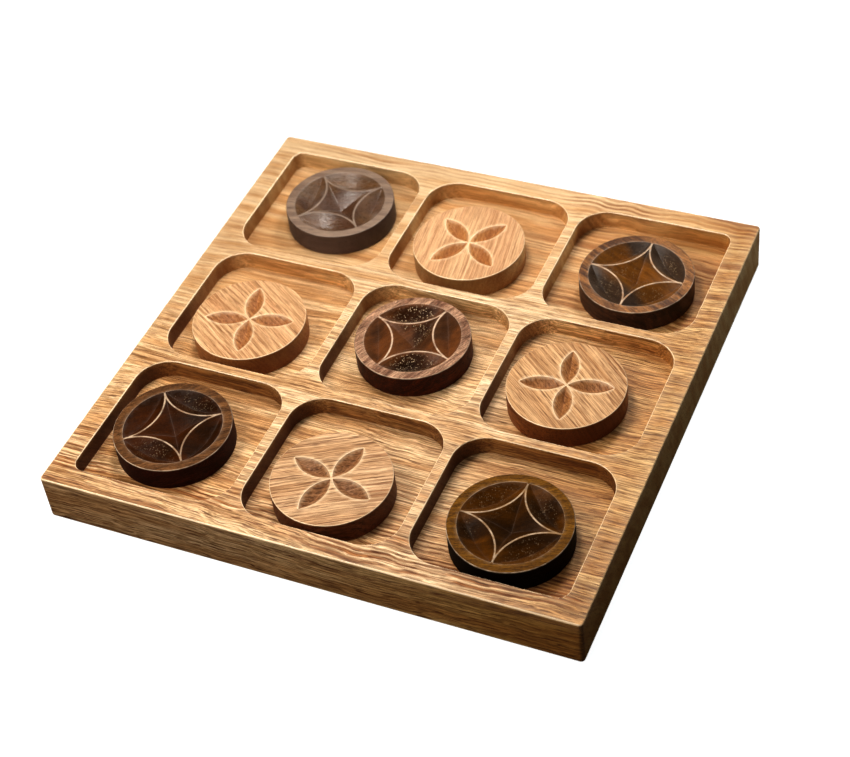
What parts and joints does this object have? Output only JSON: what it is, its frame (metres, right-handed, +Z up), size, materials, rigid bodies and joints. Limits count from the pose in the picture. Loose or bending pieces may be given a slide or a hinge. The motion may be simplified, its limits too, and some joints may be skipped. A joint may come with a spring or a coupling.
{
  "type": "tic tac toe set",
  "caption": "Square wooden tic tac toe board whose square pockets hold loose round playing pieces, carved with stars in dark wood and flowers in light wood.",
  "frame": {"origin": "centre of the board's underside", "axes": "+X to the right along the board's front edge and along its grain, +Y to the back edge, +Z up out of the pockets"},
  "size_m": [0.2, 0.2, 0.0206],
  "materials": {
    "oak_board": "oiled light oak, satin",
    "oak_pieces": "oiled light oak, satin",
    "walnut_pieces": "oiled dark walnut, satin"
  },
  "bodies": {
    "board": {"board": "oak_board"},
    "star_piece_1": {"star_piece_1": "walnut_pieces"},
    "star_piece_2": {"star_piece_2": "walnut_pieces"},
    "star_piece_3": {"star_piece_3": "walnut_pieces"},
    "star_piece_4": {"star_piece_4": "walnut_pieces"},
    "star_piece_5": {"star_piece_5": "walnut_pieces"},
    "flower_piece_1": {"flower_piece_1": "oak_pieces"},
    "flower_piece_2": {"flower_piece_2": "oak_pieces"},
    "flower_piece_3": {"flower_piece_3": "oak_pieces"},
    "flower_piece_4": {"flower_piece_4": "oak_pieces"}
  },
  "joints": [
    {"name": "lift_star_piece_1", "type": "slide", "parent": "board", "child": "star_piece_1", "axis": [0, 0, 1], "range_m": [0, 0.03]},
    {"name": "lift_star_piece_2", "type": "slide", "parent": "board", "child": "star_piece_2", "axis": [0, 0, 1], "range_m": [0, 0.03]},
    {"name": "lift_star_piece_3", "type": "slide", "parent": "board", "child": "star_piece_3", "axis": [0, 0, 1], "range_m": [0, 0.03]},
    {"name": "lift_star_piece_4", "type": "slide", "parent": "board", "child": "star_piece_4", "axis": [0, 0, 1], "range_m": [0, 0.03]},
    {"name": "lift_star_piece_5", "type": "slide", "parent": "board", "child": "star_piece_5", "axis": [0, 0, 1], "range_m": [0, 0.03]},
    {"name": "lift_flower_piece_1", "type": "slide", "parent": "board", "child": "flower_piece_1", "axis": [0, 0, 1], "range_m": [0, 0.03]},
    {"name": "lift_flower_piece_2", "type": "slide", "parent": "board", "child": "flower_piece_2", "axis": [0, 0, 1], "range_m": [0, 0.03]},
    {"name": "lift_flower_piece_3", "type": "slide", "parent": "board", "child": "flower_piece_3", "axis": [0, 0, 1], "range_m": [0, 0.03]},
    {"name": "lift_flower_piece_4", "type": "slide", "parent": "board", "child": "flower_piece_4", "axis": [0, 0, 1], "range_m": [0, 0.03]}
  ]
}
